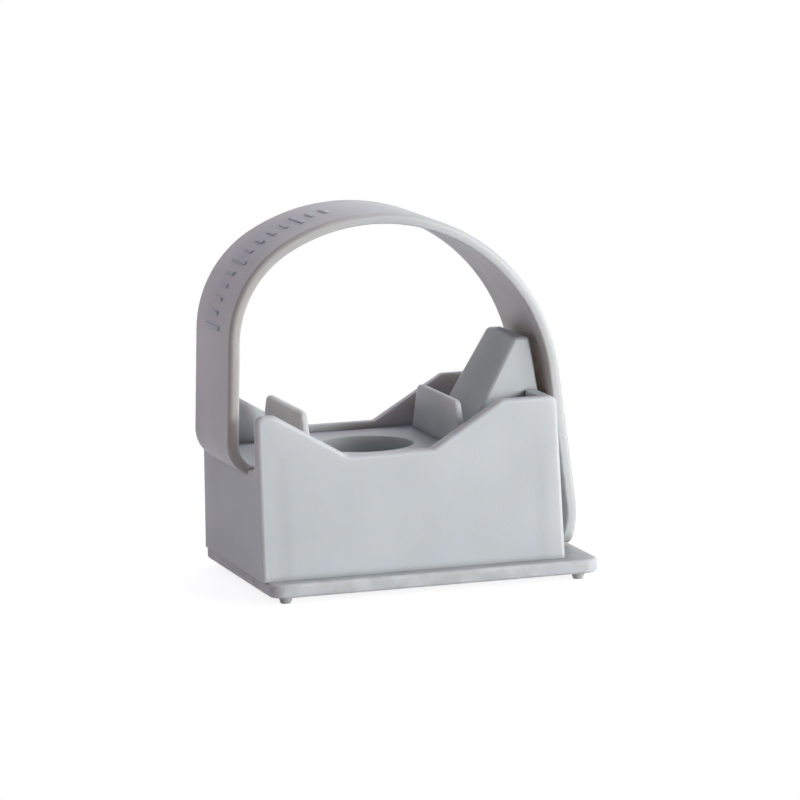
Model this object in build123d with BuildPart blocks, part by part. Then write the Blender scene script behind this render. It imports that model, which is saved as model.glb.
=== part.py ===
"""Conduit support: a base box with notched sides and a strap that wraps over the conduit, moulded in one piece.

Millimetres. The origin is on the axis of the fixing hole, at the flat underside of the flange. +Z points away
from the wall that the support is fixed to, the conduit runs along Y, and the strap crosses it along X. The
strap springs from the hinge end at -X and latches at +X.
"""
import os
from math import atan2, cos, degrees, hypot, radians, sin, tan

from build123d import *

# Flange and corner nubs
flange_thickness = 1.4
flange_side = 1.8          # stands out past the long walls
flange_latch = 3.2         # stands out past the latch end
flange_step = 0.4          # set back under the hinge end
flange_corner = 1.6
flange_edge = 0.2
nub_radius = 0.8
nub_height = 0.8
nub_inset = 1.9
nub_taper = 20.0

# Box
box_length = 32.0          # outside, at the flange
box_depth = 22.0           # outside, at the flange
hinge_to_axis = 14.2       # outside of the hinge end to the fixing axis
wall_height = 16.6         # from the flange to the top of the long walls
side_wall = 1.1            # long walls, at their top
hinge_wall = 1.3
latch_wall = 2.0           # at the flange
side_draft = 2.5
latch_draft = 1.2
box_edge = 0.4
pocket_corner = 0.5

# Notch in the long walls, which the conduit lies in
notch_height = 12.1        # from the flange to the floor of the notch
notch_floor = 8.8
notch_angle = 31.0
notch_offset = -0.35       # from the fixing axis
notch_bend = 0.8

# Low top of the hinge end, level with the shelf behind it
hinge_height = 10.8        # from the flange
hinge_fillet = 1.2

# Saddle between the pockets, with the fixing well
saddle_drop = 0.7          # below the floor of the notch
saddle_skin = 1.4
saddle_rib = 1.2
well_radius = 5.1
well_wall = 1.2
well_floor = 2.4
hole_radius = 2.1
web_thickness = 1.0

# Spring tabs on the saddle
tab_gap = 15.6             # between the inner faces
tab_thickness = 0.7
tab_height = 16.2          # from the flange
tab_top_width = 12.3
tab_foot_width = 16.6
tab_corner = 1.0
tab_edge = 0.15

# Wedge post at the latch end
wedge_width = 9.0          # at the top
wedge_draft = 5.5          # each side of the post
wedge_height = 21.9        # from the flange
wedge_tip = 1.55           # length of the flat top
wedge_setback = 1.25       # from the outside of the latch end to the flat top
wedge_lean = 7.0           # back of the post from the vertical
wedge_edge = 0.2
ramp_gap = 0.3             # between the foot of the ramp and the tab
post_wall = 1.3

# Strap, with radii to the middle of its thickness
strap_width = 13.0
strap_thickness = 1.1
strap_outer_edge = 0.5
strap_inner_edge = 0.15
root_lift = 0.25           # top of the root above the shelf
root_radius = 2.7
riser_length = 10.3
riser_lean = 2.4
shoulder_radius = 11.15
shoulder_turn = 58.0
drop_lean = 6.6
drop_gap = 0.8             # between the strap and the top of the latch end
tail_radius = 8.2
tail_turn = 30.5
tail_gap = 0.65            # between the tip and the flange
tip_corner = 1.6

# Ratchet between the strap and the latch end
tooth_count = 7
tooth_pitch = 1.3
tooth_length = 0.8
tooth_height = 0.35
tooth_width = 9.0
tooth_start = 2.4          # along the strap, from the end of the crown
catch_tooth = 2            # the tooth that the catch holds
catch_gap = 0.15
catch_length = 1.1

# Levels
wall_top = flange_thickness + wall_height
notch_level = flange_thickness + notch_height
hinge_top = flange_thickness + hinge_height
saddle_top = notch_level - saddle_drop
saddle_under = saddle_top - saddle_skin
shelf_under = hinge_top - saddle_skin
tab_top = flange_thickness + tab_height
wedge_top = flange_thickness + wedge_height

# Places along the length and the depth
hinge_x = -hinge_to_axis
latch_x = box_length - hinge_to_axis
latch_top_x = latch_x - wall_height * tan(radians(latch_draft))
pocket_hinge_x = hinge_x + hinge_wall
pocket_latch_x = latch_x - latch_wall
half_depth = box_depth / 2
half_depth_top = half_depth - wall_height * tan(radians(side_draft))
pocket_half = half_depth_top - side_wall
tab_inner_x = tab_gap / 2
tab_outer_x = tab_inner_x + tab_thickness
flange_start = hinge_x + flange_step
flange_end = latch_x + flange_latch
flange_length = flange_end - flange_start
flange_depth = box_depth + 2 * flange_side
flange_mid = (flange_start + flange_end) / 2

# Course of the strap: each heading is from +X towards +Z
half_strap = strap_thickness / 2
riser_heading = radians(90 - riser_lean)
crown_heading = riser_heading - radians(shoulder_turn)
drop_heading = radians(drop_lean - 90)
tail_heading = drop_heading - radians(tail_turn)
crown_turn = degrees(crown_heading - drop_heading)
root_x = pocket_hinge_x
root_z = hinge_top + root_lift - half_strap
shoulder_x = root_x - root_radius * sin(riser_heading) + riser_length * cos(riser_heading)
shoulder_z = root_z + root_radius * (1 + cos(riser_heading)) + riser_length * sin(riser_heading)
crown_x = shoulder_x + shoulder_radius * (sin(riser_heading) - sin(crown_heading))
crown_z = shoulder_z + shoulder_radius * (cos(crown_heading) - cos(riser_heading))

# The crown has the radius that brings the strap down just outside the latch end
slope = tan(radians(drop_lean))
landing_x = latch_top_x + drop_gap + half_strap / cos(radians(drop_lean))
crown_reach = sin(crown_heading) - sin(drop_heading)
crown_fall = cos(drop_heading) - cos(crown_heading)
crown_radius = (landing_x - crown_x - (crown_z - wall_top) * slope) / (crown_reach + crown_fall * slope)
drop_x = crown_x + crown_radius * crown_reach
drop_z = crown_z + crown_radius * crown_fall

# The drop has the length that leaves the tip just above the flange
tail_fall = tail_radius * (cos(drop_heading) - cos(tail_heading))
tip_level = flange_thickness + tail_gap
drop_length = (drop_z - tail_fall - tip_level) / cos(radians(drop_lean))
tip_foot = tip_level + half_strap * cos(tail_heading)


def on_drop(distance, rise):
    """Point (x, z) that far down the straight drop, and that far off its inner face towards the box."""
    off = half_strap + rise
    x = drop_x + distance * cos(drop_heading) + off * sin(drop_heading)
    z = drop_z + distance * sin(drop_heading) - off * cos(drop_heading)
    return (x, z)


def latch_face(level):
    """X of the drafted outside of the latch end at a level."""
    return latch_x - (level - flange_thickness) * tan(radians(latch_draft))


# Flange that stands on the wall
with BuildPart() as flange:
    with BuildSketch() as plate:
        with Locations((flange_mid, 0)):
            RectangleRounded(flange_length, flange_depth, flange_corner)
    extrude(amount=flange_thickness)
    chamfer(flange.edges().filter_by(Plane.XY), flange_edge)

# Base: notched box on its flange
notch_run = (wall_top - notch_level) / tan(radians(notch_angle))
notch_left = notch_offset - notch_floor / 2
notch_right = notch_offset + notch_floor / 2

with BuildPart() as base:
    # Side elevation with the notch, trimmed to the drafted end elevation
    with BuildSketch(Plane.XZ) as elevation:
        with BuildLine():
            Polyline(
                (hinge_x, flange_thickness),
                (hinge_x, wall_top),
                (notch_left - notch_run, wall_top),
                (notch_left, notch_level),
                (notch_right, notch_level),
                (notch_right + notch_run, wall_top),
                (latch_top_x, wall_top),
                (latch_x, flange_thickness),
                close=True,
            )
        make_face()
        fillet(elevation.vertices().sort_by(Axis.Y)[2:], notch_bend)
    extrude(amount=half_depth, both=True)
    with BuildSketch(Plane.YZ.offset(hinge_x)) as end_elevation:
        with BuildLine():
            Polyline(
                (-half_depth, flange_thickness),
                (-half_depth_top, wall_top),
                (half_depth_top, wall_top),
                (half_depth, flange_thickness),
                close=True,
            )
        make_face()
    extrude(amount=box_length, mode=Mode.INTERSECT)
    uprights = base.edges().filter_by(lambda edge: abs((edge % 0.5).Z) > 0.9)
    fillet(uprights, box_edge)

    add(flange.part)

    # Corner nubs
    with BuildSketch() as nubs:
        with Locations((flange_mid, 0)):
            with GridLocations(flange_length - 2 * nub_inset, flange_depth - 2 * nub_inset, 2, 2):
                Circle(nub_radius)
    extrude(amount=-nub_height, taper=nub_taper)

    # Inside of the box
    with BuildSketch(Plane.XY.offset(flange_thickness)) as pocket:
        with Locations(((pocket_hinge_x + pocket_latch_x) / 2, 0)):
            RectangleRounded(pocket_latch_x - pocket_hinge_x, 2 * pocket_half, pocket_corner)
    extrude(amount=wall_height, mode=Mode.SUBTRACT)

    # Low top of the hinge end
    with BuildSketch(Plane.YZ.offset(hinge_x)) as hinge_slot:
        with BuildLine():
            Polyline(
                (-pocket_half, wall_top),
                (-pocket_half, hinge_top),
                (pocket_half, hinge_top),
                (pocket_half, wall_top),
                close=True,
            )
        make_face()
        fillet(hinge_slot.vertices().sort_by(Axis.Y)[:2], hinge_fillet)
    extrude(amount=hinge_wall, mode=Mode.SUBTRACT)

# Spring tabs that stand along the sides of the saddle
with BuildPart() as tabs:
    for side in (-1, 1):
        with BuildSketch(Plane.YZ.offset(side * tab_inner_x)) as tab:
            with BuildLine():
                Polyline(
                    (-tab_foot_width / 2, saddle_top),
                    (-tab_top_width / 2, tab_top),
                    (tab_top_width / 2, tab_top),
                    (tab_foot_width / 2, saddle_top),
                    close=True,
                )
            make_face()
            fillet(tab.vertices().sort_by(Axis.Y)[2:], tab_corner)
        extrude(amount=side * tab_thickness)
    chamfer(tabs.edges().filter_by(Plane.YZ).filter_by(lambda edge: edge.center().Z > saddle_top), tab_edge)

# Saddle: the block in the middle of the box, with a spring tab along each side and a shelf to the hinge end
shelf_mid = (pocket_hinge_x - tab_outer_x) / 2
shelf_length = -tab_outer_x - pocket_hinge_x

with BuildPart() as saddle:
    with BuildSketch() as block:
        Rectangle(2 * tab_outer_x, 2 * pocket_half)
    extrude(amount=saddle_top)
    with BuildSketch() as shelf:
        with Locations((shelf_mid, 0)):
            Rectangle(shelf_length, 2 * pocket_half)
    extrude(amount=hinge_top)
    add(tabs.part)

# Wedge post, backed by the latch end
wedge_right = latch_x - wedge_setback
wedge_left = wedge_right - wedge_tip
wedge_back = wedge_right + (wedge_top - wall_top) * tan(radians(wedge_lean))
wedge_foot = wedge_width + 2 * wedge_top * tan(radians(wedge_draft))
ramp_foot_x = tab_outer_x + ramp_gap
ramp_slope = (wedge_left - ramp_foot_x) / (wedge_top - saddle_top)

with BuildPart() as wedge:
    with BuildSketch(Plane.XZ) as post:
        with BuildLine():
            Polyline(
                (ramp_foot_x, 0),
                (ramp_foot_x, saddle_top),
                (wedge_left, wedge_top),
                (wedge_right, wedge_top),
                (wedge_back, wall_top),
                (wedge_back, wall_top - latch_wall),
                (pocket_latch_x, wall_top - latch_wall),
                (pocket_latch_x, 0),
                close=True,
            )
        make_face()
    extrude(amount=wedge_foot / 2, both=True)
    with BuildSketch(Plane.YZ.offset(ramp_foot_x)) as post_end:
        with BuildLine():
            Polyline(
                (-wedge_foot / 2, 0),
                (-wedge_width / 2, wedge_top),
                (wedge_width / 2, wedge_top),
                (wedge_foot / 2, 0),
                close=True,
            )
        make_face()
    extrude(amount=wedge_back - ramp_foot_x, mode=Mode.INTERSECT)
    post_sides = wedge.edges().filter_by(lambda edge: abs((edge % 0.5).Y) < 0.5 and edge.center().Z > tab_top)
    post_ends = wedge.edges().filter_by(Axis.Y).group_by(Axis.Z)[-1]
    chamfer(post_sides + post_ends, wedge_edge)

# Strap: a flat band along its course, with ratchet teeth on the inside of the drop
with BuildPart() as strap:
    with BuildLine(Plane.XZ) as course:
        foot = Line((-tab_outer_x, root_z), (root_x, root_z))
        root = JernArc(foot @ 1, foot % 1, root_radius, -(90 + riser_lean))
        riser = PolarLine(root @ 1, riser_length, direction=root % 1)
        shoulder = JernArc(riser @ 1, riser % 1, shoulder_radius, -shoulder_turn)
        crown = JernArc(shoulder @ 1, shoulder % 1, crown_radius, -crown_turn)
        drop = PolarLine(crown @ 1, drop_length, direction=crown % 1)
        tail = JernArc(drop @ 1, drop % 1, tail_radius, -tail_turn)
    with BuildSketch(Plane(origin=course.line @ 0, x_dir=(0, 1, 0), z_dir=course.line % 0)) as band:
        Rectangle(strap_width, strap_thickness)
        fillet(band.vertices().group_by(Axis.Y)[0], strap_inner_edge)
        fillet(band.vertices().group_by(Axis.Y)[-1], strap_outer_edge)
    sweep()
    for side in (-1, 1):
        with BuildSketch(Plane.YZ) as tip_trim:
            with Locations((side * (strap_width - tip_corner) / 2, tip_foot + tip_corner / 2)):
                Rectangle(tip_corner, tip_corner)
            with Locations((side * (strap_width / 2 - tip_corner), tip_foot + tip_corner)):
                Circle(tip_corner, mode=Mode.SUBTRACT)
        extrude(amount=flange_end, mode=Mode.SUBTRACT)

    with BuildSketch(Plane.XZ) as teeth:
        for number in range(tooth_count):
            reach = tooth_start + number * tooth_pitch
            with BuildLine():
                Polyline(
                    on_drop(reach, -half_strap),
                    on_drop(reach, tooth_height),
                    on_drop(reach + tooth_length, 0),
                    on_drop(reach + tooth_length, -half_strap),
                    close=True,
                )
            make_face()
    extrude(amount=tooth_width / 2, both=True)

# Whole moulding
with BuildPart() as conduit_support:
    add(base.part)
    add(saddle.part)
    add(wedge.part)

    # Catch on the latch end, just above the tooth that it holds
    catch_reach = tooth_start + catch_tooth * tooth_pitch - catch_gap
    catch_tip = on_drop(catch_reach, catch_gap)
    catch_foot = catch_tip[1]
    catch_head = catch_foot + catch_length
    with BuildSketch(Plane.XZ) as catch:
        with BuildLine():
            Polyline(
                catch_tip,
                (latch_face(catch_head), catch_head),
                (pocket_latch_x, catch_head),
                (pocket_latch_x, catch_foot),
                close=True,
            )
        make_face()
    extrude(amount=tooth_width / 2, both=True)

    # Cores from below: round the fixing well and its four webs, under the shelf, and up inside the wedge post
    web_angle = degrees(atan2(pocket_half, tab_outer_x))
    web_length = 2 * hypot(pocket_half, tab_outer_x)
    with BuildSketch() as saddle_core:
        Rectangle(2 * (tab_outer_x - saddle_rib), 2 * pocket_half)
        Circle(well_radius + well_wall, mode=Mode.SUBTRACT)
        Rectangle(web_length, web_thickness, rotation=web_angle, mode=Mode.SUBTRACT)
        Rectangle(web_length, web_thickness, rotation=-web_angle, mode=Mode.SUBTRACT)
    extrude(amount=saddle_under, mode=Mode.SUBTRACT)
    with BuildSketch() as shelf_core:
        with Locations((shelf_mid, 0)):
            Rectangle(shelf_length, 2 * pocket_half)
    extrude(amount=shelf_under, mode=Mode.SUBTRACT)

    core_foot_x = ramp_foot_x + post_wall
    core_skin_x = ramp_foot_x + post_wall * hypot(1, ramp_slope)
    core_shoulder = saddle_top - (core_skin_x - core_foot_x) / ramp_slope
    core_head_x = core_skin_x + (wall_top - saddle_top) * ramp_slope
    for side in (-1, 1):
        with BuildSketch(Plane.XZ.offset(side * web_thickness / 2)) as post_core:
            with BuildLine():
                Polyline(
                    (core_foot_x, 0),
                    (core_foot_x, core_shoulder),
                    (core_head_x, wall_top),
                    (pocket_latch_x, wall_top),
                    (pocket_latch_x, 0),
                    close=True,
                )
            make_face()
        extrude(amount=side * (wedge_width / 2 - post_wall - web_thickness / 2), mode=Mode.SUBTRACT)

    # Fixing well and hole
    with Locations((0, 0, saddle_top)):
        CounterBoreHole(hole_radius, well_radius, saddle_top - well_floor)

    add(strap.part)

conduit_support.part.label = "conduit_support"

os.makedirs("parts", exist_ok=True)
export_step(conduit_support.part, "parts/conduit_support.step")
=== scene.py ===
"""Look of the moulded conduit support.

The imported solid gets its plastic, the raised scale on the strap and the mould marks under the flange, and
it stands in a small studio before the camera.
"""

import logging
import math
from abc import ABC, abstractmethod
from dataclasses import dataclass
from enum import Enum
from typing import Any

import bmesh
import bpy
from mathutils import Matrix, Vector


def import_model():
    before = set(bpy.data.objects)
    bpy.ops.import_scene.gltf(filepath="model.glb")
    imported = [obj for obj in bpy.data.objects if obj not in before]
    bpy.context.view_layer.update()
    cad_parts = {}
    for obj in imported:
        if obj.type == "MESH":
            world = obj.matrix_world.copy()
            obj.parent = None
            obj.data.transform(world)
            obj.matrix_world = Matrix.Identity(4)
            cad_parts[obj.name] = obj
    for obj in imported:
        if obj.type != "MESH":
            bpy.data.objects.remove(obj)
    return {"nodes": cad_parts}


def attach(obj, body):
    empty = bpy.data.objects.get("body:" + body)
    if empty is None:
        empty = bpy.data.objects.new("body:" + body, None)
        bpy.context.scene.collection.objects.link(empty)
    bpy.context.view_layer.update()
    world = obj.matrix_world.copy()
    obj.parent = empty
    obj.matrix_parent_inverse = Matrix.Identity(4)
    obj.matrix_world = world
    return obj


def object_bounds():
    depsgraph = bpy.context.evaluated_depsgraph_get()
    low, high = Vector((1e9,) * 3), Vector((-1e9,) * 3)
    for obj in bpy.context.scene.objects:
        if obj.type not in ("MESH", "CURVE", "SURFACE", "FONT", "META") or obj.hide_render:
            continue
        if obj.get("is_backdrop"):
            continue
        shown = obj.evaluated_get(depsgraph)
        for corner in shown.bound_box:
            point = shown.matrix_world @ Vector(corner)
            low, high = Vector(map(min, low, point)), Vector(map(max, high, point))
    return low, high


Colour = tuple[float, float, float]
Span = tuple[float, float]
Labelled = tuple[tuple[str, float], ...]

LOG = logging.getLogger("conduit_support")
MM = 0.001
FLOOR_GAP = 0.02 * MM
WHITE: Colour = (1.0, 1.0, 1.0)
BLACK: Colour = (0.0, 0.0, 0.0)
RISING: Span = (0.0, 1.0)
FALLING: Span = (1.0, 0.0)
# Several sockets of a Mix node share a name, so its colour sockets go by their numbers.
MIX_FIRST, MIX_SECOND, MIX_RESULT = 6, 7, 2


class Name(Enum):
    """Names that the frame gives to the moulding."""

    NODE = "conduit_support"
    BODY = "root"
    SLOT = "moulding"


class Lamp(Enum):
    """Studio lamps, each named for where it stands."""

    FRONT = "lamp_front"
    RIGHT = "lamp_right"
    LEFT = "lamp_left"
    REAR = "lamp_rear"
    REAR_RIGHT = "lamp_rear_right"


class Socket(Enum):
    """Kinds of socket that the node trees have."""

    FLOAT = "NodeSocketFloat"
    INT = "NodeSocketInt"
    VECTOR = "NodeSocketVector"
    OBJECT = "NodeSocketObject"
    MATERIAL = "NodeSocketMaterial"
    GEOMETRY = "NodeSocketGeometry"


def new_node(tree: bpy.types.NodeTree, kind: str, **settings: Any) -> bpy.types.Node:
    """Adds a node and sets its properties.

    Args:
        tree: Node tree that takes the node.
        kind: Blender's type name of the node.
        **settings: Properties to set on the node.

    Returns:
        The new node.
    """
    node = tree.nodes.new(kind)
    for key, value in settings.items():
        setattr(node, key, value)
    return node


def feed(tree: bpy.types.NodeTree, slot: bpy.types.NodeSocket, value: Any) -> None:
    """Links an input to a socket, or sets it to a plain value.

    Args:
        tree: Node tree of the input.
        slot: Input to feed.
        value: Socket or plain value.
    """
    if isinstance(value, bpy.types.NodeSocket):
        tree.links.new(value, slot)
    else:
        slot.default_value = value


def maths(tree: bpy.types.NodeTree, operation: str, first: Any, second: Any = None) -> bpy.types.NodeSocket:
    """Adds a Math node whose inputs are sockets or numbers.

    Args:
        tree: Node tree that takes the node.
        operation: Blender's name of the operation.
        first: Socket or number for the first input.
        second: Socket or number for the second input, if there is one.

    Returns:
        The node's output socket.
    """
    node = new_node(tree, "ShaderNodeMath", operation=operation)
    for slot, value in zip(node.inputs, (first, second)):
        if value is not None:
            feed(tree, slot, value)
    return node.outputs[0]


def remap(tree: bpy.types.NodeTree, value: bpy.types.NodeSocket, source: Span,
          target: Span) -> bpy.types.NodeSocket:
    """Adds a clamped Map Range node.

    Args:
        tree: Node tree that takes the node.
        value: Socket to remap.
        source: Low and high end of the values that come in.
        target: Low and high end of the values that go out.

    Returns:
        The remapped socket.
    """
    node = new_node(tree, "ShaderNodeMapRange", clamp=True)
    tree.links.new(value, node.inputs["Value"])
    node.inputs["From Min"].default_value, node.inputs["From Max"].default_value = source
    node.inputs["To Min"].default_value, node.inputs["To Max"].default_value = target
    return node.outputs["Result"]


def opaque(colour: Colour) -> tuple[float, float, float, float]:
    """Returns a linear colour with full alpha."""
    return (*colour, 1.0)


def blend(tree: bpy.types.NodeTree, share: bpy.types.NodeSocket, first: Any,
          second: Any) -> bpy.types.NodeSocket:
    """Mixes two colours, each a socket or a linear colour.

    Args:
        tree: Node tree that takes the node.
        share: Socket with the share of the second colour.
        first: Colour where the share is 0.
        second: Colour where the share is 1.

    Returns:
        The mixed colour's socket.
    """
    mix = new_node(tree, "ShaderNodeMix", data_type="RGBA")
    tree.links.new(share, mix.inputs["Factor"])
    for number, tint in ((MIX_FIRST, first), (MIX_SECOND, second)):
        feed(tree, mix.inputs[number], tint if isinstance(tint, bpy.types.NodeSocket) else opaque(tint))
    return mix.outputs[MIX_RESULT]


class SurfaceGroup(ABC):
    """Shader group of masks and normals, built once and placed in each material with its own values."""

    GROUP: str
    INPUTS: Labelled
    OUTPUTS: tuple[tuple[str, Socket], ...]

    def build(self) -> bpy.types.NodeTree:
        """Makes the group on the first call and finds it again on later ones.

        Returns:
            The shader group.
        """
        if self.GROUP in bpy.data.node_groups:
            return bpy.data.node_groups[self.GROUP]
        tree = bpy.data.node_groups.new(self.GROUP, "ShaderNodeTree")
        face = tree.interface
        for label, value in self.INPUTS:
            slot = face.new_socket(label, in_out="INPUT", socket_type=Socket.FLOAT.value)
            slot.default_value = value
        for label, kind in self.OUTPUTS:
            face.new_socket(label, in_out="OUTPUT", socket_type=kind.value)
        enter = new_node(tree, "NodeGroupInput")
        leave = new_node(tree, "NodeGroupOutput")
        for label, result in self.results(tree, enter).items():
            tree.links.new(result, leave.inputs[label])
        return tree

    def place(self, tree: bpy.types.NodeTree, values: Labelled) -> bpy.types.Node:
        """Places the group in a material.

        Args:
            tree: Node tree of the material.
            values: The material's own value for each input, by label.

        Returns:
            The group's node in the material.
        """
        node = new_node(tree, "ShaderNodeGroup", node_tree=self.build())
        for label, value in values:
            node.inputs[label].default_value = value
        return node

    @abstractmethod
    def results(self, tree: bpy.types.NodeTree, enter: bpy.types.Node) -> dict[str, bpy.types.NodeSocket]:
        """Adds the nodes that work out the group's outputs.

        Args:
            tree: Node tree of the group.
            enter: Its input node.

        Returns:
            The socket for each output, by label.
        """


class SkinGroup(SurfaceGroup):
    """Shader group for moulded plastic skin: cloudy tint, fine grain and sparse specks."""

    GROUP = "moulded_skin"
    INPUTS = (("Grain Scale", 5200.0), ("Cloud Scale", 130.0))
    OUTPUTS = (
        ("Cloud", Socket.FLOAT),
        ("Speck", Socket.FLOAT),
        ("Gloss", Socket.FLOAT),
        ("Height", Socket.FLOAT),
    )
    CLOUD_DETAIL = 3.0
    CLOUD_RANGE = (0.3, 0.7)
    GRAIN_DETAIL = 2.0
    GLOSS_RANGE = (0.1, 0.45)
    SPECK_CELLS = 620.0
    SPECK_SIZE = 0.10
    SPECK_CORE = 0.6
    SPECK_ABOVE = 0.93

    def results(self, tree: bpy.types.NodeTree, enter: bpy.types.Node) -> dict[str, bpy.types.NodeSocket]:
        """Adds the nodes for the cloudy tint, the specks, the gloss and the grain's height.

        Args:
            tree: Node tree of the group.
            enter: Its input node.

        Returns:
            The socket for each output, by label.
        """
        place = new_node(tree, "ShaderNodeTexCoord").outputs["Object"]
        noises = []
        for label, detail in (("Cloud Scale", self.CLOUD_DETAIL), ("Grain Scale", self.GRAIN_DETAIL)):
            noise = new_node(tree, "ShaderNodeTexNoise")
            noise.inputs["Detail"].default_value = detail
            tree.links.new(place, noise.inputs["Vector"])
            tree.links.new(enter.outputs[label], noise.inputs["Scale"])
            noises.append(noise.outputs["Fac"])
        cloud, grain = noises
        return {
            "Cloud": remap(tree, cloud, self.CLOUD_RANGE, RISING),
            "Speck": self._speck(tree, place),
            "Gloss": remap(tree, maths(tree, "MULTIPLY", cloud, grain), self.GLOSS_RANGE, RISING),
            "Height": grain,
        }

    def _speck(self, tree: bpy.types.NodeTree, place: bpy.types.NodeSocket) -> bpy.types.NodeSocket:
        """Adds the nodes for a few round specks.

        Args:
            tree: Node tree of the group.
            place: Socket with the object coordinates.

        Returns:
            The mask of the specks.
        """
        cells = new_node(tree, "ShaderNodeTexVoronoi")
        cells.inputs["Scale"].default_value = self.SPECK_CELLS
        tree.links.new(place, cells.inputs["Vector"])
        chance = new_node(tree, "ShaderNodeSeparateColor")
        tree.links.new(cells.outputs["Color"], chance.inputs[0])
        chosen = maths(tree, "GREATER_THAN", chance.outputs[0], self.SPECK_ABOVE)
        faded = (self.SPECK_SIZE * self.SPECK_CORE, self.SPECK_SIZE)
        return maths(tree, "MULTIPLY", chosen, remap(tree, cells.outputs["Distance"], faded, FALLING))


class PlacedWearAndShadeGroup(SurfaceGroup):
    """Shader group for wear and painted shade at known places: scuffs and painted shade on the flange,
    painted shade of the sinks in the long walls, and grime with painted shade along the strap's edges.
    """

    GROUP = "placed_wear"
    INPUTS = (
        ("Low Level", 1.5 * MM),
        ("First Sink", -12.0 * MM),
        ("Second Sink", 15.0 * MM),
        ("Sink Width", 1.0 * MM),
        ("Strap Edge", 6.5 * MM),
    )
    OUTPUTS = (
        ("Scuff", Socket.FLOAT),
        ("Dust", Socket.FLOAT),
        ("Sink", Socket.FLOAT),
        ("Rim", Socket.FLOAT),
    )
    SCUFF_SCALE = 420.0
    SCUFF_DETAIL = 4.0
    SCUFF_RANGE = (0.42, 0.60)
    UPWARD = (0.7, 0.95)
    SIDEWAYS = (0.85, 0.97)
    SINK_BAND = (0.2, 1.0)
    SINK_FADE = (11.0 * MM, 15.0 * MM)
    RIM_ROUND = (0.65 * MM, 0.35 * MM)
    RIM_SIDE = (0.0, 0.1 * MM)
    RIM_SIDE_SHARE = (0.72, 1.0)
    ROOT_FADE = (-8.0 * MM, 6.0 * MM)
    ROOT_SHARE = (1.0, 0.3)
    STRAP_FOOT = 1.9 * MM
    BOX_TOP = 18.3 * MM
    BOX_MIDDLE = 1.8 * MM
    BOX_REACH = 16.05 * MM

    def results(self, tree: bpy.types.NodeTree, enter: bpy.types.Node) -> dict[str, bpy.types.NodeSocket]:
        """Adds the nodes for the scuffs and the painted shade on the flange, the painted shade of the sinks
        and the grime and painted shade of the strap's rim.

        Args:
            tree: Node tree of the group.
            enter: Its input node.

        Returns:
            The socket for each output, by label.
        """
        place = new_node(tree, "ShaderNodeTexCoord").outputs["Object"]
        spot = new_node(tree, "ShaderNodeSeparateXYZ")
        tree.links.new(place, spot.inputs[0])
        surface = new_node(tree, "ShaderNodeNewGeometry")
        facing = new_node(tree, "ShaderNodeSeparateXYZ")
        tree.links.new(surface.outputs["Normal"], facing.inputs[0])

        low = maths(tree, "LESS_THAN", spot.outputs["Z"], enter.outputs["Low Level"])
        rubs = new_node(tree, "ShaderNodeTexNoise")
        rubs.inputs["Scale"].default_value = self.SCUFF_SCALE
        rubs.inputs["Detail"].default_value = self.SCUFF_DETAIL
        tree.links.new(place, rubs.inputs["Vector"])
        rubbed = remap(tree, rubs.outputs["Fac"], self.SCUFF_RANGE, RISING)
        # Low faces of the flange that look upward get painted shade.
        upward = remap(tree, facing.outputs["Z"], self.UPWARD, RISING)
        return {
            "Scuff": maths(tree, "MULTIPLY", low, rubbed),
            "Dust": maths(tree, "MULTIPLY", low, upward),
            "Sink": self._sink(tree, enter, spot, facing),
            "Rim": self._rim(tree, enter, spot),
        }

    def _sink(self, tree: bpy.types.NodeTree, enter: bpy.types.Node, spot: bpy.types.Node,
              facing: bpy.types.Node) -> bpy.types.NodeSocket:
        """Adds the nodes for the painted shade of two upright sinks in each long wall.

        Args:
            tree: Node tree of the group.
            enter: Its input node.
            spot: Node with the X, Y and Z of the place.
            facing: Node with the X, Y and Z of the normal.

        Returns:
            The mask of the sinks.
        """
        bands = []
        for label in ("First Sink", "Second Sink"):
            off = maths(tree, "ABSOLUTE", maths(tree, "SUBTRACT", spot.outputs["X"], enter.outputs[label]))
            bands.append(maths(tree, "DIVIDE", off, enter.outputs["Sink Width"]))
        band = remap(tree, maths(tree, "MINIMUM", *bands), self.SINK_BAND, FALLING)
        sideways = remap(tree, maths(tree, "ABSOLUTE", facing.outputs["Y"]), self.SIDEWAYS, RISING)
        below = remap(tree, spot.outputs["Z"], self.SINK_FADE, FALLING)
        return maths(tree, "MULTIPLY", band, maths(tree, "MULTIPLY", sideways, below))

    def _rim(self, tree: bpy.types.NodeTree, enter: bpy.types.Node,
             spot: bpy.types.Node) -> bpy.types.NodeSocket:
        """Adds the nodes for grime and painted shade along the strap's edges, which fade away from its root.

        Args:
            tree: Node tree of the group.
            enter: Its input node.
            spot: Node with the X, Y and Z of the place.

        Returns:
            The mask of the rim.
        """
        across = maths(tree, "ABSOLUTE", spot.outputs["Y"])
        inset = maths(tree, "SUBTRACT", enter.outputs["Strap Edge"], across)
        rounded = remap(tree, inset, self.RIM_ROUND, RISING)
        side = remap(tree, inset, self.RIM_SIDE, self.RIM_SIDE_SHARE)
        length = maths(tree, "ABSOLUTE", maths(tree, "SUBTRACT", spot.outputs["X"], self.BOX_MIDDLE))
        outside = maths(tree, "GREATER_THAN", length, self.BOX_REACH)
        above = maths(tree, "GREATER_THAN", spot.outputs["Z"], self.BOX_TOP)
        clear = maths(tree, "GREATER_THAN", spot.outputs["Z"], self.STRAP_FOOT)
        on_strap = maths(tree, "MULTIPLY", maths(tree, "MAXIMUM", outside, above), clear)
        near_root = remap(tree, spot.outputs["X"], self.ROOT_FADE, self.ROOT_SHARE)
        rim_grime_and_shade = maths(tree, "MULTIPLY", maths(tree, "MULTIPLY", rounded, side), on_strap)
        return maths(tree, "MULTIPLY", rim_grime_and_shade, near_root)


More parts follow.
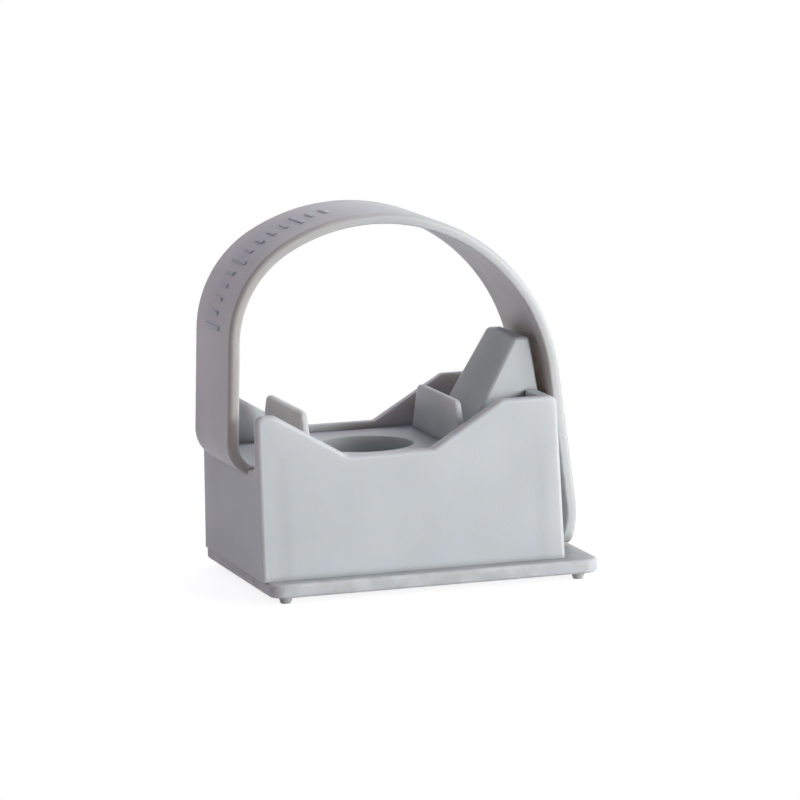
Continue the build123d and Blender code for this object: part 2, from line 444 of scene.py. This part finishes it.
class EdgeGroup(SurfaceGroup):
    """Shader group for softened, slightly rubbed edges and for the painted shade in inside corners."""

    GROUP = "rubbed_edge"
    INPUTS = (("Radius", 0.15 * MM), ("Reach", 1.0 * MM))
    OUTPUTS = (("Edge", Socket.FLOAT), ("Crease", Socket.FLOAT), ("Normal", Socket.VECTOR))
    SAMPLES = 8
    CREASE_RANGE = (0.50, 0.85)
    EDGE_RANGE = (0.75, 0.99)

    def results(self, tree: bpy.types.NodeTree, enter: bpy.types.Node) -> dict[str, bpy.types.NodeSocket]:
        """Adds the nodes for the open edges, the painted shade of the inside corners and the softened
        normal.

        Args:
            tree: Node tree of the group.
            enter: Its input node.

        Returns:
            The socket for each output, by label.
        """
        # Ambient occlusion finds the inside corners, which get painted shade.
        corner = new_node(tree, "ShaderNodeAmbientOcclusion", samples=self.SAMPLES, only_local=True)
        tree.links.new(enter.outputs["Reach"], corner.inputs["Distance"])
        crease = remap(tree, corner.outputs["AO"], self.CREASE_RANGE, FALLING)

        soft = new_node(tree, "ShaderNodeBevel", samples=self.SAMPLES)
        tree.links.new(enter.outputs["Radius"], soft.inputs["Radius"])
        flat = new_node(tree, "ShaderNodeNewGeometry")
        turn = new_node(tree, "ShaderNodeVectorMath", operation="DOT_PRODUCT")
        tree.links.new(soft.outputs["Normal"], turn.inputs[0])
        tree.links.new(flat.outputs["Normal"], turn.inputs[1])
        edge = remap(tree, turn.outputs["Value"], self.EDGE_RANGE, FALLING)
        open_side = maths(tree, "SUBTRACT", 1.0, crease)
        return {
            "Edge": maths(tree, "MULTIPLY", edge, open_side),
            "Crease": crease,
            "Normal": soft.outputs["Normal"],
        }


@dataclass(frozen=True)
class MouldedPlastic:
    """Light grey moulded plastic.

    Attributes:
        name: Name of the material.
        colour: Linear colour of the plastic.
        cloudy: Linear colour where the moulding is a little darker.
        cloud_scale: Clouds to a metre.
        gloss_range: Roughness where it is glossiest and where it is dullest.
        grain_scale: Grains to a metre.
        grain_depth: Depth of the grain in metres.
        speck: Linear colour of the specks in the plastic.
        speck_share: How far a speck covers the plastic.
        rubbed: Linear colour along rubbed edges.
        edge_share: How far the rubbing shows.
        edge_radius: Radius of the softened edges in metres.
        crease_shade: Linear colour of the painted shade in inside corners.
        crease_shade_share: How far the painted corner shade covers the plastic.
        crease_shade_reach: How far the painted corner shade reaches out of a corner, in metres.
        scuff: Linear colour of the scuffs on the flange.
        scuff_share: How far the scuffs cover the plastic.
        ledge_shade: Linear colour of the painted shade on the flange's low upward faces.
        ledge_shade_share: How far that painted shade covers the plastic.
        sink_shade: Linear colour of the painted shade of the sinks in the long walls.
        sink_shade_share: How far the painted sink shade shows.
        rim_grime_and_shade: Linear colour of the grime and painted shade along the strap's edges.
        rim_grime_and_shade_share: How far that grime and painted shade cover the plastic.
        wear_and_shade_places: Where the placed wear and painted shade sit, in metres, by the name of the
            group's input.
        refraction: Index of refraction.
        glow_through: Share of light that soaks into thin walls.
        glow_depth: How deep it soaks, in metres, for red, green and blue.
        glow_scale: Factor on those depths.
    """

    name: str = "moulded_grey_plastic"
    colour: Colour = (0.53, 0.555, 0.58)
    cloudy: Colour = (0.495, 0.52, 0.545)
    cloud_scale: float = 130.0
    gloss_range: Span = (0.42, 0.58)
    grain_scale: float = 5200.0
    grain_depth: float = 0.012 * MM
    speck: Colour = (0.30, 0.29, 0.28)
    speck_share: float = 0.6
    rubbed: Colour = (0.49, 0.48, 0.46)
    edge_share: float = 0.4
    edge_radius: float = 0.14 * MM
    crease_shade: Colour = (0.25, 0.245, 0.24)
    crease_shade_share: float = 0.62
    crease_shade_reach: float = 1.0 * MM
    scuff: Colour = (0.36, 0.37, 0.37)
    scuff_share: float = 0.5
    ledge_shade: Colour = (0.31, 0.305, 0.295)
    ledge_shade_share: float = 0.36
    sink_shade: Colour = (0.445, 0.465, 0.49)
    sink_shade_share: float = 0.5
    rim_grime_and_shade: Colour = (0.31, 0.285, 0.26)
    rim_grime_and_shade_share: float = 0.7
    wear_and_shade_places: Labelled = (
        ("Low Level", 1.45 * MM),
        ("First Sink", -11.7 * MM),
        ("Second Sink", 15.4 * MM),
        ("Sink Width", 1.0 * MM),
        ("Strap Edge", 6.5 * MM),
    )
    refraction: float = 1.49
    glow_through: float = 0.8
    glow_depth: tuple[float, float, float] = (2.2 * MM, 1.65 * MM, 1.2 * MM)
    glow_scale: float = 1.0

    def material(self) -> bpy.types.Material:
        """Makes the finish as a node material.

        Returns:
            The material.
        """
        made = bpy.data.materials.new(self.name)
        made.use_nodes = True
        tree = made.node_tree
        shader = tree.nodes["Principled BSDF"]
        scales = (("Grain Scale", self.grain_scale), ("Cloud Scale", self.cloud_scale))
        skin = SkinGroup().place(tree, scales)
        edge = EdgeGroup().place(tree, (("Radius", self.edge_radius), ("Reach", self.crease_shade_reach)))
        wear_and_shade = PlacedWearAndShadeGroup().place(tree, self.wear_and_shade_places)

        tint = blend(tree, skin.outputs["Cloud"], self.colour, self.cloudy)
        # The sink, flange-top and inside-corner masks paint shade into the colour, and the strap-rim mask
        # paints grime with shade.
        for mask, amount, colour in (
            (wear_and_shade.outputs["Sink"], self.sink_shade_share, self.sink_shade),
            (wear_and_shade.outputs["Scuff"], self.scuff_share, self.scuff),
            (wear_and_shade.outputs["Dust"], self.ledge_shade_share, self.ledge_shade),
            (wear_and_shade.outputs["Rim"], self.rim_grime_and_shade_share, self.rim_grime_and_shade),
            (edge.outputs["Crease"], self.crease_shade_share, self.crease_shade),
            (edge.outputs["Edge"], self.edge_share, self.rubbed),
            (skin.outputs["Speck"], self.speck_share, self.speck),
        ):
            tint = blend(tree, maths(tree, "MULTIPLY", mask, amount), tint, colour)
        tree.links.new(tint, shader.inputs["Base Color"])
        roughness = remap(tree, skin.outputs["Gloss"], RISING, self.gloss_range)
        tree.links.new(roughness, shader.inputs["Roughness"])
        bump = new_node(tree, "ShaderNodeBump")
        bump.inputs["Distance"].default_value = self.grain_depth
        tree.links.new(skin.outputs["Height"], bump.inputs["Height"])
        tree.links.new(edge.outputs["Normal"], bump.inputs["Normal"])
        tree.links.new(bump.outputs["Normal"], shader.inputs["Normal"])
        shader.inputs["IOR"].default_value = self.refraction
        shader.inputs["Subsurface Weight"].default_value = self.glow_through
        shader.inputs["Subsurface Radius"].default_value = self.glow_depth
        shader.inputs["Subsurface Scale"].default_value = self.glow_scale
        return made


@dataclass
class StrapCourse:
    """Side view of the strap's middle line, from its root to where it bends over the conduit.

    Attributes:
        root_x: Place of the root along X, in metres.
        root_z: Level of the root, in metres.
        root_radius: Radius of the bend at the root, in metres.
        riser_length: Length of the straight riser, in metres.
        riser_lean: Lean of the riser in degrees.
        shoulder_radius: Radius of the shoulder, in metres.
        shoulder_turn: Turn of the shoulder in degrees.
        crown_radius: Radius of the crown, in metres.
        half_thickness: Half of the strap's thickness, in metres.
    """

    root_x: float = -12.9 * MM
    root_z: float = 11.9 * MM
    root_radius: float = 2.7 * MM
    riser_length: float = 10.3 * MM
    riser_lean: float = 2.4
    shoulder_radius: float = 11.15 * MM
    shoulder_turn: float = 58.0
    crown_radius: float = 18.901 * MM
    half_thickness: float = 0.55 * MM

    def meet_angle(self) -> float:
        """Returns the angle at which the shoulder meets the crown, in radians."""
        return math.radians(180 - self.riser_lean - self.shoulder_turn)

    def shoulder_centre(self) -> Vector:
        """Finds the centre of the shoulder's bend.

        Returns:
            The centre, in the plane of the side view.
        """
        heading = math.radians(90 - self.riser_lean)
        along, rise = math.cos(heading), math.sin(heading)
        x = self.root_x + (self.shoulder_radius - self.root_radius) * rise + self.riser_length * along
        z = self.root_z + self.root_radius * (1 + along) + self.riser_length * rise
        z -= self.shoulder_radius * along
        return Vector((x, 0, z))

    def crown_centre(self) -> Vector:
        """Finds the centre of the crown's bend, in line with the shoulder's where the two meet.

        Returns:
            The centre, in the plane of the side view.
        """
        meet = self.meet_angle()
        reach = self.shoulder_radius - self.crown_radius
        return self.shoulder_centre() + reach * Vector((math.cos(meet), 0, math.sin(meet)))


class PathTree:
    """Geometry node trees that set copies of a small shape round a bend or over a grid."""

    SHARED = (("Shape", Socket.OBJECT), ("Place", Socket.VECTOR), ("Finish", Socket.MATERIAL))
    ZERO_BELOW = 0.5
    BEND_TURN = math.pi / 2
    GRID_TURN = 0.0

    @classmethod
    def _start(cls, name: str,
               sockets: tuple[tuple[str, Socket], ...]) -> tuple[bpy.types.NodeTree, bpy.types.Node]:
        """Makes an empty tree with the shared inputs, its own inputs and one geometry output.

        Args:
            name: Name of the tree.
            sockets: Label and kind of each of its own inputs.

        Returns:
            The tree and its input node.
        """
        tree = bpy.data.node_groups.new(name, "GeometryNodeTree")
        tree.interface.new_socket("Geometry", in_out="OUTPUT", socket_type=Socket.GEOMETRY.value)
        for label, kind in cls.SHARED + sockets:
            tree.interface.new_socket(label, in_out="INPUT", socket_type=kind.value)
        return tree, new_node(tree, "NodeGroupInput")

    @staticmethod
    def _finish(tree: bpy.types.NodeTree, enter: bpy.types.Node, points: bpy.types.NodeSocket,
                rotation: bpy.types.NodeSocket | None, scale: bpy.types.NodeSocket | None,
                turn: float) -> bpy.types.NodeTree:
        """Puts the shape on the points, turns the whole and makes it a plain mesh with its material.

        Args:
            tree: Tree to finish.
            enter: Its input node, with Shape, Place and Finish.
            points: Points that take the copies.
            rotation: Rotation of each copy, or None.
            scale: Scale of each copy, or None.
            turn: Turn of the whole about X, in radians.

        Returns:
            The finished tree.
        """
        shape = new_node(tree, "GeometryNodeObjectInfo")
        tree.links.new(enter.outputs["Shape"], shape.inputs["Object"])
        copies = new_node(tree, "GeometryNodeInstanceOnPoints")
        tree.links.new(points, copies.inputs["Points"])
        tree.links.new(shape.outputs["Geometry"], copies.inputs["Instance"])
        if rotation is not None:
            tree.links.new(rotation, copies.inputs["Rotation"])
        if scale is not None:
            tree.links.new(scale, copies.inputs["Scale"])
        plain = new_node(tree, "GeometryNodeRealizeInstances")
        tree.links.new(copies.outputs["Instances"], plain.inputs["Geometry"])
        move = new_node(tree, "GeometryNodeTransform")
        move.inputs["Rotation"].default_value = (turn, 0.0, 0.0)
        tree.links.new(plain.outputs["Geometry"], move.inputs["Geometry"])
        tree.links.new(enter.outputs["Place"], move.inputs["Translation"])
        dress = new_node(tree, "GeometryNodeSetMaterial")
        tree.links.new(move.outputs["Geometry"], dress.inputs["Geometry"])
        tree.links.new(enter.outputs["Finish"], dress.inputs["Material"])
        leave = new_node(tree, "NodeGroupOutput")
        tree.links.new(dress.outputs["Geometry"], leave.inputs["Geometry"])
        return tree

    @classmethod
    def bend(cls) -> bpy.types.NodeTree:
        """Makes the tree that sets copies at equal steps round a bend, every so many of them longer.

        Returns:
            The tree.
        """
        tree, enter = cls._start("copies_round_bend", (
            ("Count", Socket.INT), ("First", Socket.INT), ("Radius", Socket.FLOAT),
            ("Start", Socket.FLOAT), ("Step", Socket.FLOAT),
            ("Long Every", Socket.INT), ("Long Scale", Socket.FLOAT),
        ))
        index = new_node(tree, "GeometryNodeInputIndex").outputs[0]
        steps = maths(tree, "MULTIPLY", index, enter.outputs["Step"])
        angle = maths(tree, "ADD", enter.outputs["Start"], steps)
        spot = new_node(tree, "ShaderNodeCombineXYZ")
        for slot, operation in zip(spot.inputs, ("COSINE", "SINE")):
            unit = maths(tree, operation, angle)
            tree.links.new(maths(tree, "MULTIPLY", unit, enter.outputs["Radius"]), slot)
        points = new_node(tree, "GeometryNodePoints")
        tree.links.new(enter.outputs["Count"], points.inputs["Count"])
        tree.links.new(spot.outputs[0], points.inputs["Position"])
        swing = new_node(tree, "ShaderNodeCombineXYZ")
        tree.links.new(angle, swing.inputs["Z"])
        number = maths(tree, "ADD", index, enter.outputs["First"])
        left_over = maths(tree, "MODULO", number, enter.outputs["Long Every"])
        is_long = maths(tree, "LESS_THAN", left_over, cls.ZERO_BELOW)
        longer = maths(tree, "SUBTRACT", enter.outputs["Long Scale"], 1.0)
        extra = maths(tree, "MULTIPLY", is_long, longer)
        size = new_node(tree, "ShaderNodeCombineXYZ")
        size.inputs["X"].default_value = size.inputs["Y"].default_value = 1.0
        tree.links.new(maths(tree, "ADD", extra, 1.0), size.inputs["Z"])
        return cls._finish(tree, enter, points.outputs[0], swing.outputs[0], size.outputs[0], cls.BEND_TURN)

    @classmethod
    def grid(cls) -> bpy.types.NodeTree:
        """Makes the tree that sets copies on the corners of a grid.

        Returns:
            The tree.
        """
        tree, enter = cls._start("copies_on_grid", (
            ("Span X", Socket.FLOAT), ("Span Y", Socket.FLOAT),
            ("Count X", Socket.INT), ("Count Y", Socket.INT),
        ))
        net = new_node(tree, "GeometryNodeMeshGrid")
        for axis in ("X", "Y"):
            tree.links.new(enter.outputs[f"Span {axis}"], net.inputs[f"Size {axis}"])
            tree.links.new(enter.outputs[f"Count {axis}"], net.inputs[f"Vertices {axis}"])
        return cls._finish(tree, enter, net.outputs["Mesh"], None, None, cls.GRID_TURN)


def grow(name: str, tree: bpy.types.NodeTree, inputs: dict[str, Any]) -> bpy.types.Object:
    """Runs a geometry node tree once and keeps its result as a plain mesh piece.

    Args:
        name: Name of the piece.
        tree: Geometry node tree.
        inputs: Value of each named input.

    Returns:
        The piece, at the origin.
    """
    holder = bpy.data.objects.new(name, bpy.data.meshes.new(name))
    bpy.context.scene.collection.objects.link(holder)
    modifier = holder.modifiers.new("copies", "NODES")
    modifier.node_group = tree
    keys = {item.name: item.identifier for item in tree.interface.items_tree if item.in_out == "INPUT"}
    for label, value in inputs.items():
        modifier[keys[label]] = value
    evaluated = holder.evaluated_get(bpy.context.evaluated_depsgraph_get())
    mesh = bpy.data.meshes.new_from_object(evaluated)
    holder.modifiers.clear()
    holder.data = mesh
    mesh.name = name
    return holder


def small_shape(name: str, build: bmesh.types.BMesh) -> bpy.types.Object:
    """Makes a helper object from a finished bmesh.

    Args:
        name: Name of the helper.
        build: Its geometry, which is freed.

    Returns:
        The helper object.
    """
    bmesh.ops.recalc_face_normals(build, faces=build.faces)
    mesh = bpy.data.meshes.new(name)
    build.to_mesh(mesh)
    build.free()
    shape = bpy.data.objects.new(name, mesh)
    bpy.context.scene.collection.objects.link(shape)
    return shape


@dataclass(frozen=True)
class ScaleRun:
    """Run of the scale's bars round one bend of the strap.

    Attributes:
        name: Name of the piece.
        centre: Centre of the bend.
        radius: Radius of the strap's middle line there, in metres.
        count: How many bars it has.
        first: Number of its first bar along the whole scale.
        way: 1 for the run that ends where the bends meet, -1 for the one that starts there.
    """

    name: str
    centre: Vector
    radius: float
    count: int
    first: int
    way: int


@dataclass
class StrapScale:
    """Plain raised scale across the outer face of the strap, for reading how far it is drawn down.

    Attributes:
        course: Side view of the strap.
        pitch: Step from bar to bar, in metres.
        meet_gap: Share of a pitch from the meeting of the bends to the nearest bar.
        bar_width: Width of a bar along the strap, in metres.
        bar_length: Length of a bar across the strap, in metres.
        bar_height: How far a bar stands up, in metres.
        bar_sunk: How far a bar is sunk into the strap, in metres.
        edge_share: Share of the height that the eased edges take.
        edge_segments: Faces across an eased edge.
        edge_profile: Profile of an eased edge, where a half is round.
        long_every: How many bars from one long bar to the next.
        long_scale: How much longer a long bar is.
        shoulder_count: Bars on the shoulder.
        crown_count: Bars on the crown.
    """

    course: StrapCourse
    pitch: float = 1.45 * MM
    meet_gap: float = 0.5
    bar_width: float = 0.42 * MM
    bar_length: float = 2.6 * MM
    bar_height: float = 0.14 * MM
    bar_sunk: float = 0.06 * MM
    edge_share: float = 0.3
    edge_segments: int = 2
    edge_profile: float = 0.5
    long_every: int = 5
    long_scale: float = 1.8
    shoulder_count: int = 8
    crown_count: int = 5

    def build(self, finish: bpy.types.Material) -> list[bpy.types.Object]:
        """Builds the bars on the shoulder and on the crown.

        Args:
            finish: Material of the bars.

        Returns:
            The two pieces.
        """
        bar = self._bar()
        course = self.course
        shoulder = ScaleRun("scale_shoulder", course.shoulder_centre(), course.shoulder_radius,
                            self.shoulder_count, 0, 1)
        crown = ScaleRun("scale_crown", course.crown_centre(), course.crown_radius,
                         self.crown_count, self.shoulder_count, -1)
        tree = PathTree.bend()
        pieces = []
        for run in (shoulder, crown):
            outer = run.radius + course.half_thickness
            step = self.pitch / outer
            start = course.meet_angle() + run.way * self.meet_gap * step
            if run.way > 0:
                start += (run.count - 1) * step
            pieces.append(grow(run.name, tree, {
                "Shape": bar, "Place": run.centre, "Finish": finish, "Count": run.count, "First": run.first,
                "Radius": outer, "Start": start, "Step": -step,
                "Long Every": self.long_every, "Long Scale": self.long_scale,
            }))
        bpy.data.objects.remove(bar)
        return pieces

    def _bar(self) -> bpy.types.Object:
        """Makes one bar: X is its height, Y its width and Z its length.

        Returns:
            The helper object that the scale copies.
        """
        build = bmesh.new()
        bmesh.ops.create_cube(build, size=1.0)
        height = self.bar_height + self.bar_sunk
        for vert in build.verts:
            vert.co.x = vert.co.x * height + (self.bar_height - self.bar_sunk) / 2
            vert.co.y *= self.bar_width
            vert.co.z *= self.bar_length
        top = [edge for edge in build.edges if all(vert.co.x > 0 for vert in edge.verts)]
        upright = [edge for edge in build.edges
                   if abs(edge.verts[0].co.x - edge.verts[1].co.x) > height / 2]
        bmesh.ops.bevel(build, geom=top + upright, offset=self.edge_share * self.bar_height,
                        segments=self.edge_segments, profile=self.edge_profile, affect="EDGES")
        return small_shape("scale_bar", build)


@dataclass
class MouldMarks:
    """Faint round witness marks of the ejector pins under the flange.

    Attributes:
        radius: Radius of a mark, in metres.
        face_share: Share of that radius at the mark's face.
        height: How far a mark stands out of the flange, in metres.
        span_x: Step between the marks along X, in metres.
        span_y: Step between the marks along Y, in metres.
        rows: Marks along each side of their grid.
        segments: Sides of a mark's outline.
    """

    radius: float = 1.1 * MM
    face_share: float = 0.94
    height: float = 0.05 * MM
    span_x: float = 11.0 * MM
    span_y: float = 22.0 * MM
    rows: int = 2
    segments: int = 40

    def build(self, finish: bpy.types.Material) -> list[bpy.types.Object]:
        """Builds the marks.

        Args:
            finish: Material of the marks.

        Returns:
            The piece, in a list.
        """
        build = bmesh.new()
        bmesh.ops.create_cone(build, cap_ends=True, segments=self.segments,
                              radius1=self.radius * self.face_share, radius2=self.radius,
                              depth=2 * self.height)
        disc = small_shape("pin_disc", build)
        piece = grow("pin_marks", PathTree.grid(), {
            "Shape": disc, "Place": Vector((0, 0, 0)), "Finish": finish,
            "Span X": self.span_x, "Span Y": self.span_y, "Count X": self.rows, "Count Y": self.rows,
        })
        bpy.data.objects.remove(disc)
        return [piece]


@dataclass
class PhotoCamera:
    """Camera that stands where the photograph was taken.

    Attributes:
        target: Point that it turns about, in metres.
        azimuth: Turn about the upright axis, in degrees.
        elevation: Degrees above the level of the target.
        roll: Turn about the line of sight, in degrees.
        distance: How far it stands from the target, in metres.
        lens_mm: Focal length.
        sensor_mm: Width of the sensor.
        shift_x: Sideways shift of the picture, as a share of its width.
        shift_y: Upward shift of the picture, as a share of its width.
        clip_start: Nearest distance that it sees, in metres.
    """

    target: tuple[float, float, float] = (1.8 * MM, 0.0, 15.4 * MM)
    azimuth: float = 17.119
    elevation: float = 9.229
    roll: float = -1.413
    distance: float = 518.308 * MM
    lens_mm: float = 227.99
    sensor_mm: float = 36.0
    shift_x: float = 0.02494
    shift_y: float = 0.02181
    clip_start: float = 0.01

    def build(self) -> bpy.types.Object:
        """Makes the scene's camera.

        Returns:
            The camera object.
        """
        turn, lift, roll = (math.radians(angle) for angle in (self.azimuth, self.elevation, self.roll))
        back = Vector((-math.sin(turn) * math.cos(lift), -math.cos(turn) * math.cos(lift), math.sin(lift)))
        right = Vector((math.cos(turn), -math.sin(turn), 0.0))
        up = right.cross(-back)
        tilted_right = math.cos(roll) * right + math.sin(roll) * up
        tilted_up = math.cos(roll) * up - math.sin(roll) * right
        pose = Matrix((tilted_right, tilted_up, back)).transposed().to_4x4()
        pose.translation = Vector(self.target) + self.distance * back
        lens = bpy.data.cameras.new("photo_camera")
        lens.lens = self.lens_mm
        lens.sensor_width = self.sensor_mm
        lens.shift_x, lens.shift_y = self.shift_x, self.shift_y
        lens.clip_start = self.clip_start
        camera = bpy.data.objects.new("photo_camera", lens)
        camera.matrix_world = pose
        bpy.context.scene.collection.objects.link(camera)
        bpy.context.scene.camera = camera
        return camera


@dataclass(frozen=True)
class SoftBox:
    """Square soft lamp that faces the object.

    Attributes:
        lamp: Which lamp it is.
        azimuth: Degrees round from the front of the object, to its right.
        elevation: Degrees above the object.
        watts: Power of the lamp.
        colour: Linear colour of the light.
        size: Side of the lamp's face in metres.
        distance: How far it stands from the object, in metres.
        aim: Point that it faces.
        mirrored: Whether glossy surfaces mirror the lamp. A fill lamp isn't mirrored.
    """

    lamp: Lamp
    azimuth: float
    elevation: float
    watts: float
    colour: Colour
    size: float = 0.30
    distance: float = 0.60
    aim: tuple[float, float, float] = (0.0, 0.0, 15.0 * MM)
    mirrored: bool = True

    def hang(self) -> bpy.types.Object:
        """Hangs the lamp in the scene.

        Returns:
            The lamp object.
        """
        turn, lift = math.radians(self.azimuth), math.radians(self.elevation)
        away = Vector((math.sin(turn) * math.cos(lift), -math.cos(turn) * math.cos(lift), math.sin(lift)))
        light = bpy.data.lights.new(self.lamp.value, "AREA")
        light.size = self.size
        light.energy = self.watts
        light.color = self.colour
        holder = bpy.data.objects.new(self.lamp.value, light)
        holder.location = Vector(self.aim) + self.distance * away
        holder.rotation_euler = (-away).to_track_quat("-Z", "Y").to_euler()
        holder.visible_glossy = self.mirrored
        bpy.context.scene.collection.objects.link(holder)
        return holder


@dataclass
class Studio:
    """Pale floor, soft lamps and an even surround.

    Attributes:
        floor_level: Level of the floor, in metres.
        floor_radius: Radius of the floor, in metres.
        floor_segments: Sides of the floor's outline.
        floor_colour: Linear colour of the floor as the lamps light it.
        floor_roughness: Roughness of the floor.
        floor_glow: Strength of white that the floor shows close to the object, where 1 is white.
        floor_dimmed: Share of black in its colour there, so that the shadow stays.
        shadow_reach: Distances between which glow and dimming rise to 1, in metres.
        surround: Linear colour of the even light from all round.
        lamps: The soft lamps.
    """

    floor_level: float
    floor_radius: float = 3.0
    floor_segments: int = 96
    floor_colour: Colour = (0.80, 0.78, 0.77)
    floor_roughness: float = 0.9
    floor_glow: float = 0.86
    floor_dimmed: float = 0.5
    shadow_reach: Span = (0.04, 0.10)
    surround: Colour = (0.012, 0.012, 0.012)
    lamps: tuple[SoftBox, ...] = (
        SoftBox(Lamp.FRONT, 30.0, 9.0, 2.20, (0.99, 1.0, 0.94), size=0.20),
        SoftBox(Lamp.RIGHT, 60.0, 20.0, 2.28, (0.88, 0.93, 1.0)),
        SoftBox(Lamp.LEFT, -90.0, 52.0, 0.67, (0.90, 0.75, 1.0)),
        SoftBox(Lamp.REAR, 180.0, 12.0, 0.81, (0.93, 0.96, 1.0), mirrored=False),
        SoftBox(Lamp.REAR_RIGHT, 150.0, 52.0, 0.94, (1.0, 0.96, 1.0)),
    )

    def build(self) -> None:
        """Makes the floor, the lamps and the world."""
        self._floor()
        for soft_box in self.lamps:
            soft_box.hang()
        self._world()

    def _floor(self) -> None:
        """Makes the floor, which is white to the camera and still takes the object's shadow."""
        build = bmesh.new()
        bmesh.ops.create_circle(build, cap_ends=True, segments=self.floor_segments, radius=self.floor_radius)
        bmesh.ops.translate(build, verts=build.verts, vec=(0, 0, self.floor_level))
        floor = small_shape("studio_floor", build)
        made = bpy.data.materials.new("studio_floor")
        made.use_nodes = True
        tree = made.node_tree
        shader = tree.nodes["Principled BSDF"]
        shader.inputs["Roughness"].default_value = self.floor_roughness
        shader.inputs["Specular IOR Level"].default_value = 0.0
        shader.inputs["Emission Color"].default_value = opaque(WHITE)
        place = new_node(tree, "ShaderNodeTexCoord")
        distance = new_node(tree, "ShaderNodeVectorMath", operation="LENGTH")
        tree.links.new(place.outputs["Object"], distance.inputs[0])
        seen = self._seen(tree)
        glow = remap(tree, distance.outputs["Value"], self.shadow_reach, (self.floor_glow, 1.0))
        tree.links.new(maths(tree, "MULTIPLY", seen, glow), shader.inputs["Emission Strength"])
        dimmed = remap(tree, distance.outputs["Value"], self.shadow_reach, (self.floor_dimmed, 1.0))
        tint = blend(tree, maths(tree, "MULTIPLY", seen, dimmed), self.floor_colour, BLACK)
        tree.links.new(tint, shader.inputs["Base Color"])
        floor.data.materials.append(made)
        floor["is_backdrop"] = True

    @staticmethod
    def _seen(tree: bpy.types.NodeTree) -> bpy.types.NodeSocket:
        """Adds the nodes that tell the rays that see the background from those that light the object.

        Args:
            tree: Node tree that takes the nodes.

        Returns:
            A socket that is 1 for camera, glossy and transmission rays.
        """
        path = new_node(tree, "ShaderNodeLightPath")
        mirrored = maths(tree, "MAXIMUM", path.outputs["Is Glossy Ray"], path.outputs["Is Transmission Ray"])
        return maths(tree, "MAXIMUM", path.outputs["Is Camera Ray"], mirrored)

    def _world(self) -> None:
        """Sets a dim even surround that is white to camera, glossy and transmission rays."""
        world = bpy.data.worlds.new("studio_surround")
        bpy.context.scene.world = world
        world.use_nodes = True
        tree = world.node_tree
        light = tree.nodes["Background"]
        light.inputs["Color"].default_value = opaque(self.surround)
        white = new_node(tree, "ShaderNodeBackground")
        white.inputs["Color"].default_value = opaque(WHITE)
        mix = new_node(tree, "ShaderNodeMixShader")
        tree.links.new(self._seen(tree), mix.inputs[0])
        tree.links.new(light.outputs[0], mix.inputs[1])
        tree.links.new(white.outputs[0], mix.inputs[2])
        tree.links.new(mix.outputs[0], tree.nodes["World Output"].inputs["Surface"])


@dataclass
class Moulding:
    """The one-piece moulding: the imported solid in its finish, with the raised details on it.

    Attributes:
        solid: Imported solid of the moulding.
        finish: Material of the moulding.
    """

    solid: bpy.types.Object
    finish: bpy.types.Material

    def dress(self) -> None:
        """Gives the solid its material."""
        self.solid.data.materials.clear()
        self.solid.data.materials.append(self.finish)
        LOG.info("dressed %s", self.solid.name)

    def add(self, pieces: list[bpy.types.Object]) -> None:
        """Fixes raised details to the moulding.

        Args:
            pieces: Pieces that ride on the moulding.
        """
        for piece in pieces:
            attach(piece, Name.BODY.value)
            LOG.info("added %s with %d faces", piece.name, len(piece.data.polygons))


def main() -> None:
    """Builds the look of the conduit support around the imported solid."""
    logging.basicConfig(level=logging.INFO)
    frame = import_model()
    cad_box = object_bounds()
    bpy.context.scene.view_settings.view_transform = "Standard"
    moulding = Moulding(frame["nodes"][Name.NODE.value], MouldedPlastic().material())
    moulding.dress()
    moulding.add(StrapScale(StrapCourse()).build(moulding.finish))
    moulding.add(MouldMarks().build(moulding.finish))
    Studio(floor_level=cad_box[0][2] - FLOOR_GAP).build()
    PhotoCamera().build()


if __name__ == "__main__":
    main()
